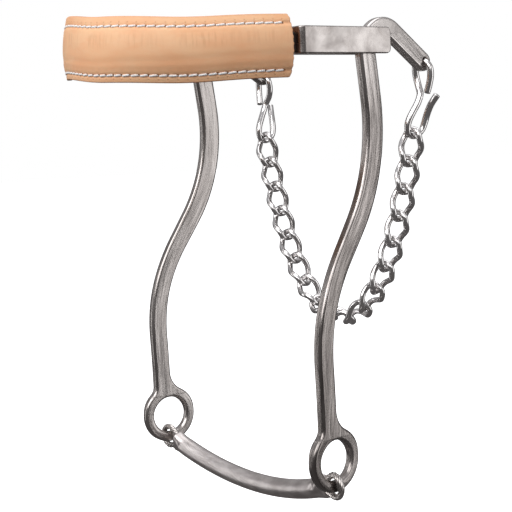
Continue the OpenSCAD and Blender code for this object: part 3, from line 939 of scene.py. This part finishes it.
def make_bracket(side, name):
    """a flat strip with rounded edges, folded to a U about the core's end and the cheek"""
    t = 3.0
    rb = 0.4 + t / 2            # bend radius at mid thickness
    y_mid = FRONT_Y + t / 2
    xo, xi = FACE - t / 2, LEG_IN + t / 2
    leg_o = REAR_Y - (y_mid + rb)
    leg_i = 8.0 - (y_mid + rb)
    bend = rb * pi / 2
    web = (xo - xi) - 2 * rb
    u0 = -(web / 2 + bend + leg_o)
    u1 = web / 2 + bend + leg_i
    h = BH / 2
    out = []
    # outer leg's end: rounded corners, round ear on the inner leg
    out += [np.array([u0 + 3.2, -h + 3.2]) + 3.2 * u(a) for a in (180, 200, 220, 240, 260, 270)]
    out += [np.array([x, -h]) for x in np.linspace(u0 + 5, u1 - 9, 40)]
    out += [np.array([u1 - 8.0, 0]) + 8.0 * u(a) for a in range(-90, 91, 6)]
    out += [np.array([x, h]) for x in np.linspace(u1 - 9, -web / 2 - bend + 1.4, 30)]
    out += [np.array([-web / 2 - bend - 0.4, h]), np.array([-web / 2 - bend - 2.4, h])]
    out += [np.array([x, h]) for x in np.linspace(-web / 2 - bend - 4, u0 + 4.4, 30)]
    out += [np.array([u0 + 3.2, h - 3.2]) + 3.2 * u(a) for a in (90, 110, 130, 150, 170, 180)]
    out = [p for k, p in enumerate(out) if k == 0 or np.linalg.norm(p - out[k - 1]) > 0.2]
    o = plate(name, out, [], t, 0.85, M_PLATE, 3)
    # cuts across the strip so it can fold
    bm = bmesh.new()
    bm.from_mesh(o.data)
    cuts = []
    for sgn in (-1, 1):
        cuts += [sgn * (web / 2 + bend * k / 8) for k in range(0, 9)]
    cuts += list(np.linspace(u0 + 2, -web / 2 - bend - 2, 24)) + list(np.linspace(web / 2 + bend + 2, u1 - 2, 16))
    for c in cuts:
        bmesh.ops.bisect_plane(bm, geom=bm.verts[:] + bm.edges[:] + bm.faces[:], plane_co=(c * MM, 0, 0), plane_no=(1, 0, 0))
    for c in (-6, -4, -2, 0, 2, 4, 6):
        bmesh.ops.bisect_plane(bm, geom=bm.verts[:] + bm.edges[:] + bm.faces[:], plane_co=(0, c * MM, 0), plane_no=(0, 1, 0))
    bmesh.ops.remove_doubles(bm, verts=bm.verts, dist=1e-6)
    for v in bm.verts:
        uu, h_, w = v.co.x / MM, v.co.y / MM, v.co.z / MM
        a = abs(uu)
        sg = 1 if uu > 0 else -1
        # shallow set in the outer leg where the pin is driven home: its depth is scaled by zero, so the leg stays flat
        if uu < 0:
            w += 0.28 * max(0.0, min(1.0, (REAR_Y - 12.5 - (REAR_Y - (uu - u0))) / 2.0 + 0.5)) * 0
        if a <= web / 2:
            x, y = (xo + xi) / 2 - uu, y_mid
            nx, ny = 0.0, -1.0
        elif a <= web / 2 + bend:
            th = (a - web / 2) / rb
            cx = (xo + xi) / 2 - sg * web / 2
            x = cx - sg * rb * sin(th)
            y = y_mid + rb - rb * cos(th)
            nx, ny = -sg * sin(th), -cos(th)
        else:
            x = xi if uu > 0 else xo
            y = y_mid + rb + (a - web / 2 - bend)
            nx, ny = (-1.0 if uu > 0 else 1.0), 0.0
        # swell of the faces: set to zero, so the faces stay flat
        sw = 0.0
        v.co = Vector(((x + nx * (w + sw)) * side * MM, (y + ny * (w + sw)) * MM, h_ * MM))
    bmesh.ops.recalc_face_normals(bm, faces=bm.faces)
    bm.to_mesh(o.data)
    bm.free()
    smooth_angle(o, 40)
    m = o.modifiers.new("wn", "WEIGHTED_NORMAL")
    m.keep_sharp = True
    return o


for side, nm in ((1, "left"), (-1, "right")):
    b = make_bracket(side, nm + "_clip")
    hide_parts(nm + "_bracket")
    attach(b, "noseband")


def dome(name, side, x, y, z, r, h, mat, shank=None):
    """a low round head with its shank, axis along X"""
    prof = [(0, -h), (r * 0.35, -h * 0.96), (r * 0.65, -h * 0.82), (r * 0.88, -h * 0.5), (r, -h * 0.12), (r, 0.0)]
    if shank:
        prof += [(shank[0], 0.0), (shank[0], shank[1]), (0, shank[1])]
    seg = 40
    V, F = [], []
    idx = []
    for q, (rr, d) in enumerate(prof):
        if rr == 0:
            idx.append([len(V)])
            V.append((side * (x + d), y, z))
        else:
            idx.append(list(range(len(V), len(V) + seg)))
            V += [(side * (x + d), y + rr * cos(2 * pi * k / seg), z + rr * sin(2 * pi * k / seg)) for k in range(seg)]
    for a, b in zip(idx, idx[1:]):
        for k in range(seg):
            l = (k + 1) % seg
            if len(a) == 1:
                F.append((a[0], b[k], b[l]))
            elif len(b) == 1:
                F.append((a[k], a[l], b[0]))
            else:
                F.append((a[k], a[l], b[l], b[k]))
    o = mesh_object(name, V, F, mat)
    if not shank:
        bm = bmesh.new()
        bm.from_mesh(o.data)
        bmesh.ops.holes_fill(bm, edges=bm.edges)
        bm.to_mesh(o.data)
        bm.free()
    outward(o)
    smooth_angle(o, 50)
    return o


for side, nm in ((1, "left"), (-1, "right")):
    p = dome(nm + "_pivot_rivet", side, LEG_IN - 0.02, 0, 0, 4.6, 1.4, M_RIVET, (2.75, LEG_OUT + 1.8 - LEG_IN))
    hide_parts(nm + "_pivot")
    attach(p, "noseband")
    p = dome(nm + "_strap_rivet", side, LEG_IN - 0.02, -46.5, -1, 3.6, 1.1, M_RIVET, (2.0, LEG_OUT - LEG_IN - 0.3))
    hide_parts(nm + "_core_rivet")
    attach(p, "noseband")

# ------------------------------------------------------------------ chain
HANG, PITCH, LINK_D = 0.53, 18.6, 3.6
CHAIN_Y, CHAIN_Z = 46.2, -57.2
slope = lambda j: math.atan(HANG * j)
sc = lambda n: sum(cos(slope(j)) for j in range(1, n + 1))
ss = lambda n: sum(sin(slope(j)) for j in range(1, n + 1))
LOW_Z = CHAIN_Z - PITCH * ss(8)
seat = lambda k: np.array([PITCH / 2 + PITCH * sc(8 - k), CHAIN_Y, LOW_Z + PITCH * ss(8 - k)])
LOOP_W, WIRE = 6.3, 3.9
LOOP_H = (PITCH + WIRE + 0.55) / 2
turn = lambda k: 44 * (1 - (k / 9) ** 3)


def link_loop():
    """middle line of one link: a rounded oval on z, its two ends turned a quarter turn apart"""
    pts = []
    for k in range(120):
        a = 2 * pi * k / 120
        y = LOOP_W * math.copysign(abs(cos(a)) ** (2 / 3), cos(a))
        z = LOOP_H * math.copysign(abs(sin(a)) ** (2 / 3), sin(a))
        q = max(-1.0, min(1.0, z / (LOOP_H * 0.75)))
        tw = rad(45 * sin(q * pi / 2))
        pts.append((y * sin(tw), y * cos(tw), z))
    return spline(pts, 0.6, closed=True)


LOOP = link_loop()


def place_link(name, mid, tilt, roll, flip=False):
    V, F = tube(LOOP, WIRE / 2, 20, closed=True)
    V = np.array(V)
    c, s = cos(rad(roll)), sin(rad(roll))
    V = np.stack([V[:, 0] * c + V[:, 1] * s, -V[:, 0] * s + V[:, 1] * c, V[:, 2]], 1)
    c, s = cos(rad(tilt)), sin(rad(tilt))
    W = np.stack([V[:, 0] * c + V[:, 2] * s, V[:, 1], -V[:, 0] * s + V[:, 2] * c], 1) + np.array([mid[0], 0, mid[2]])
    if flip:
        W[:, 0] *= -1
        W[:, 1] *= -1
    W[:, 1] += CHAIN_Y
    o = mesh_object(name, W, F, M_WIRE)
    return outward(o)


for k in range(1, 9):
    a, b = seat(k - 1), seat(k)
    m = (a + b) / 2
    tilt = 90 - math.degrees(slope(9 - k))
    for nm, flip in (("left", False), ("right", True)):
        o = place_link(f"{nm}_chain_link_{k}", m, tilt, turn(k), flip)
        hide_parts(f"{nm}_link_{k}")
        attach(o, f"{nm}_link_{k}")
o = place_link("bottom_chain_link", np.array([0, 0, LOW_Z]), 90, 0)
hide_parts("bottom_link")
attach(o, "bottom_link")

# ------------------------------------------------------------------ hooks
HOLE = np.array([CHEEK_X - arm_b[0] * sin(TOE), arm_b[0] * cos(TOE), arm_b[1]])


def hook_line():
    """closed eye through the arm's hole, stem, and a J whose tip leans out and back"""
    pts = [
        (87.0, 50.3, -32.2), (88.3, 51.1, -27.0), (89.2, 51.6, -22.0), (89.1, 51.5, -17.5), (87.7, 50.9, -14.0),
        (85.4, 50.5, -12.4), (82.4, 50.4, -12.26), (79.4, 50.4, -12.7), (77.1, 50.7, -14.6), (76.2, 51.3, -18.2),
        (76.4, 51.8, -22.4), (78.0, 51.8, -27.6), (80.6, 50.5, -32.8), (80.6, 48.3, -38.0), (79.5, 45.0, -43.6),
        (78.5, 42.3, -48.6), (77.9, 41.2, -53.0), (77.6, 42.2, -57.6), (77.6, 46.0, -59.4), (77.7, 50.0, -58.6),
        (78.2, 53.6, -55.6), (79.1, 55.3, -50.9), (80.6, 56.2, -45.6), (83.0, 57.4, -39.8), (86.5, 59.5, -34.0),
    ]
    return spline(pts, 0.6)


HOOK = hook_line()
for side, nm in ((1, "left"), (-1, "right")):
    # slimmer where it seats in the link and where it passes the arm: this is for clearance, not wear
    slim = [2.2 - 0.32 * math.exp(-(((p[2] + 58.0) / 4.0) ** 2)) - 0.35 * math.exp(-(((p[2] + 12.2) / 2.5) ** 2)) for p in HOOK]
    V, F = tube(HOOK, 2.2, 20, round_ends=0.35, radii=slim)
    V = np.array(V)
    V[:, 0] *= side
    o = mesh_object(nm + "_curb_hook", V, F, M_WIRE)
    outward(o)
    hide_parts(nm + "_hook")
    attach(o, nm + "_hook")

# ------------------------------------------------------------------ tie bar
RING = np.array([CHEEK_X - RC[0] * sin(TOE), RC[0] * cos(TOE), RC[1]])
EYE_Z = RING[2] - RING_R
BOW_R, BOW_DROP, BOW_HALF, BOW_TILT, BAR_D = 236.0, 17.6, 20.4, 16.0, 12.7


def bar_frame(th):
    """point on the bow and its outward direction; th in degrees from the middle"""
    y, z = 0.0, BOW_R - BOW_DROP
    p = np.array([BOW_R * sin(rad(th)), 0.0, z - BOW_R * cos(rad(th))])
    nrm = np.array([sin(rad(th)), 0.0, -cos(rad(th))])
    t = rad(BOW_TILT)

    def rot(v):
        return np.array([v[0], v[1] * cos(t) - v[2] * sin(t), v[1] * sin(t) + v[2] * cos(t)])

    # a small lift for the rest view only
    lean = np.array([0, 0, 0.9])
    return rot(p) + np.array([0, RING[1], EYE_Z]) + lean, rot(nrm), rot(np.array([0.0, 1.0, 0.0]))


def make_bar():
    seg = 72
    V, F, A = [], [], []
    n = 260
    ths = [-BOW_HALF + 2 * BOW_HALF * k / n for k in range(n + 1)]
    rings = []
    for k, th in enumerate(ths):
        p, nn, bb = bar_frame(th)
        d = (BOW_HALF - abs(th)) * pi / 180 * BOW_R      # distance from the end
        press = max(0.0, 1 - d / 13.0)
        press = press * press * (3 - 2 * press)
        # the swaged ends are pressed flatter, broader up and down, with a rounded lip
        a = BAR_D / 2 * (1 - 0.26 * press)               # across (bb)
        b = BAR_D / 2 * (0.98 + 0.17 * press)            # in the bow's plane
        lip = max(0.0, 1 - d / 1.2)
        a *= 1 - 0.16 * lip * lip
        b *= 1 - 0.16 * lip * lip
        ring = []
        for j in range(seg):
            w = 2 * pi * j / seg
            e = 1.0
            x, y = cos(w), sin(w)
            # squarish section where it is pressed
            ex = 1 - 0.42 * press
            q = (abs(x) ** (2 / ex) + abs(y) ** (2 / ex)) ** (-ex / 2)
            q = 1 + (q - 1) * press
            # pressed dents
            dent = 0.0
            for dd, ww in ((5.5, -0.35), (9.0, 0.55)):
                for flip in (0, pi):
                    da = (w - ww - flip + pi) % (2 * pi) - pi
                    dent += 0.42 * math.exp(-(((d - dd) / 1.5) ** 2) - (da / 0.30) ** 2)
            ring.append(p + nn * (y * b * q) * 1.0 + bb * (x * a * q) - (nn * y + bb * x) * dent)
            A.append((rad(th) * BOW_R * MM, w / (2 * pi) * BAR_D * pi * MM, d * MM))
        rings.append(ring)
    for ring in rings:
        V += ring
    for i in range(n):
        for j in range(seg):
            l = (j + 1) % seg
            F.append((i * seg + j, i * seg + l, (i + 1) * seg + l, (i + 1) * seg + j))
    F.append(tuple(range(seg))[::-1])
    F.append(tuple(n * seg + j for j in range(seg)))
    o = mesh_object("bowed_bar", V, F, M_BAR)
    vec_attr(o, "bar", A)
    bm = bmesh.new()
    bm.from_mesh(o.data)
    bmesh.ops.recalc_face_normals(bm, faces=bm.faces)
    for f in bm.faces:
        if len(f.verts) > 8:
            f.smooth = False
    bm.to_mesh(o.data)
    bm.free()
    smooth_angle(o, 40)
    return o


def bar_material():
    n = Net("stippled_bar")
    at = n.attr("bar")
    s, w, d = n.sep(at)
    obj = n.obj()
    m1 = n.noise(n.mapping(at, scale=(1, 2, 0)), 70, 4, 0.6, 0.3)
    col = n.mix(n.ramp(m1, 0.35, 0.65), rgb(205, 198, 196), rgb(226, 220, 218))
    # rows of fine rolled dimples, painted darker as shade in them
    p = 0.00105
    fx = n.math("SUBTRACT", n.math("FRACT", n.math("ADD", n.math("DIVIDE", s, p), 500.0)), 0.5)
    rowi = n.math("FLOOR", n.math("ADD", n.math("DIVIDE", s, p), 500.0))
    wy = n.math("ADD", n.math("DIVIDE", w, 0.00115), n.math("MULTIPLY", n.math("MODULO", rowi, 2.0), 0.5))
    fy = n.math("SUBTRACT", n.math("FRACT", n.math("ADD", wy, 200.0)), 0.5)
    dd = n.math("SQRT", n.math("ADD", n.math("POWER", fx, 2.0), n.math("POWER", fy, 2.0)))
    dot = n.ramp(dd, 0.42, 0.18)
    wear = n.ramp(n.noise(n.mapping(at, scale=(1, 1.4, 0)), 110, 3), 0.38, 0.6)
    # plain where the ends are pressed
    keep = n.math("MULTIPLY", n.ramp(d, 0.012, 0.017), wear)
    dot = n.math("MULTIPLY", dot, keep)
    col = n.mix(n.math("MULTIPLY", dot, 0.30), col, rgb(150, 143, 140))
    n.link(col, n.bsdf.inputs["Base Color"])
    n.bsdf.inputs["Metallic"].default_value = 1.0
    n.link(n.ramp(m1, 0.3, 0.7, 0.30, 0.42), n.bsdf.inputs["Roughness"])
    b = n.bump(n.noise(n.mapping(at, scale=(1, 1, 0)), 60, 3), 0.35, 0.0006)
    b = n.bump(n.math("SUBTRACT", 1.0, dot), 0.35, 0.00025, b)
    b = n.bump(n.noise(obj, 1800, 3), 0.12, 0.0002, b)
    n.link(b, n.bsdf.inputs["Normal"])
    return n.mat


M_BAR = bar_material()
M_CABLE = steel("cable_steel", rgb(222, 217, 214), rgb(180, 174, 171), (0.18, 0.30), None, 0.2, 200, 0.05, 150)
bar = make_bar()
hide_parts("tie_bar")
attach(bar, "tie_bar")


def cable_eye(side):
    """stranded cable that leaves the bar's end, loops round the ring's stock and comes back"""
    c = np.array([RING[0], RING[1], EYE_Z])
    p_end, nn, bb = bar_frame(BOW_HALF)
    back = c - p_end
    back /= np.linalg.norm(back)
    ax = back
    up = np.array([-ax[2], 0, ax[0]])
    up /= np.linalg.norm(up)
    r = 6.8
    pts = [c - ax * 13.0 + up * 2.0, c - ax * 10.0 + up * 2.9, c - ax * 7.0 + up * 4.4]
    for a in (120, 95, 70, 45, 20, 0, -20, -45, -70, -95, -120):
        pts.append(c + r * (ax * cos(rad(a)) + up * sin(rad(a))))
    pts += [c - ax * 7.0 - up * 4.4, c - ax * 10.0 - up * 2.9, c - ax * 13.0 - up * 2.0]
    P, T, N, B = transport(spline(pts, 0.35), False)
    parts = []
    L = np.concatenate([[0], np.cumsum(np.linalg.norm(np.diff(P, axis=0), axis=1))])
    lay = 19.0
    core = tube(P, 0.85, 8)
    parts.append(core)
    for k in range(6):
        ph = 2 * pi * k / 6
        q = [P[i] + 1.34 * (N[i] * cos(ph + 2 * pi * L[i] / lay) + B[i] * sin(ph + 2 * pi * L[i] / lay)) for i in range(len(P))]
        parts.append(tube(q, 0.74, 9))
    V, F = merge(parts)
    V = np.array(V)
    V[:, 0] *= side
    o = mesh_object(("left" if side > 0 else "right") + "_cable_eye", V, F, M_CABLE)
    outward(o)
    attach(o, "tie_bar")
    return o


eyes = [cable_eye(1), cable_eye(-1)]

# ------------------------------------------------------------------ stage, light, camera
def floor_material():
    n = Net("floor_white")
    n.bsdf.inputs["Base Color"].default_value = (0.9, 0.9, 0.9, 1)
    n.bsdf.inputs["Roughness"].default_value = 1.0
    n.bsdf.inputs["Specular IOR Level"].default_value = 0.0
    n.bsdf.inputs["Emission Color"].default_value = (1, 1, 1, 1)
    n.bsdf.inputs["Emission Strength"].default_value = 0.9
    return n.mat


fl = mesh_object("floor", [(-9000, -9000, -430), (9000, -9000, -430), (9000, 9000, -430), (-9000, 9000, -430)], [(0, 1, 2, 3)], floor_material())
fl.visible_glossy = False
fl.visible_diffuse = False

w = bpy.data.worlds.new("studio")
bpy.context.scene.world = w
w.use_nodes = True
nt = w.node_tree
nt.nodes.clear()
out = nt.nodes.new("ShaderNodeOutputWorld")
bgc = nt.nodes.new("ShaderNodeBackground")
bgc.inputs[0].default_value = (1, 1, 1, 1)
bgc.inputs[1].default_value = 1.0
bg = nt.nodes.new("ShaderNodeBackground")
tc = nt.nodes.new("ShaderNodeTexCoord")
sp = nt.nodes.new("ShaderNodeSeparateXYZ")
nt.links.new(tc.outputs["Generated"], sp.inputs[0])
cr = nt.nodes.new("ShaderNodeValToRGB")
mr = nt.nodes.new("ShaderNodeMapRange")
mr.inputs["From Min"].default_value = -1
mr.inputs["From Max"].default_value = 1
nt.links.new(sp.outputs[2], mr.inputs["Value"])
nt.links.new(mr.outputs[0], cr.inputs[0])
e = cr.color_ramp.elements
e[0].position, e[0].color = 0.0, (0.10, 0.095, 0.095, 1)
e[1].position, e[1].color = 1.0, (0.62, 0.62, 0.64, 1)
x = cr.color_ramp.elements.new(0.46)
x.color = (0.12, 0.115, 0.115, 1)
x = cr.color_ramp.elements.new(0.66)
x.color = (0.22, 0.215, 0.215, 1)
nt.links.new(cr.outputs[0], bg.inputs[0])
bg.inputs[1].default_value = 1.0
lp = nt.nodes.new("ShaderNodeLightPath")
mx = nt.nodes.new("ShaderNodeMixShader")
nt.links.new(lp.outputs["Is Camera Ray"], mx.inputs[0])
nt.links.new(bg.outputs[0], mx.inputs[1])
nt.links.new(bgc.outputs[0], mx.inputs[2])
nt.links.new(mx.outputs[0], out.inputs[0])

RIGHT = Vector((0.6056, 0.7945, -0.0440))
UP = Vector((-0.0549, 0.0969, 0.9938))
BACK = Vector((0.7938, -0.5995, 0.1023))
TARGET = Vector((0, -0.03, -0.13))


def area(name, d, dist, sx, sy, glow, color=(1, 1, 1)):
    """a soft box: direction in camera axes (right, up, back) from the object's middle; glow is its brightness"""
    v = RIGHT * d[0] + UP * d[1] + BACK * d[2]
    v.normalize()
    L = bpy.data.lights.new(name, "AREA")
    L.energy = glow * pi * sx * sy
    L.color = color
    L.shape = "RECTANGLE"
    L.size = sx
    L.size_y = sy
    o = bpy.data.objects.new(name, L)
    bpy.context.scene.collection.objects.link(o)
    o.location = TARGET + v * dist
    o.rotation_euler = (-v).to_track_quat("-Z", "Y").to_euler()
    o.visible_camera = False
    return o


area("key", (-0.9, 0.75, 0.9), 2.2, 2.0, 1.6, 3.4)
area("side", (1.15, 0.15, 0.35), 2.2, 1.2, 2.0, 1.3)
area("left", (-1.0, 0.0, -0.25), 2.2, 0.7, 1.6, 1.3)
area("front", (0.15, 0.5, 1.1), 2.2, 1.0, 1.0, 1.8)
area("top", (0.0, 1.5, -0.1), 2.0, 1.6, 1.6, 1.5)

cam = bpy.data.cameras.new("camera")
cam.sensor_width = 36
cam.sensor_fit = "HORIZONTAL"
cam.lens = 36 * 1251.0 / 512.0
cam.clip_start = 0.01
cam.clip_end = 50
co = bpy.data.objects.new("camera", cam)
bpy.context.scene.collection.objects.link(co)
R3 = Matrix((RIGHT, UP, BACK)).transposed()
co.matrix_world = Matrix.Translation((0.6564, -0.5211, -0.0493)) @ R3.to_4x4()
bpy.context.scene.camera = co
bpy.context.scene.view_settings.view_transform = "Standard"
bpy.context.scene.view_settings.look = "None"
bpy.context.scene.view_settings.exposure = 0.0
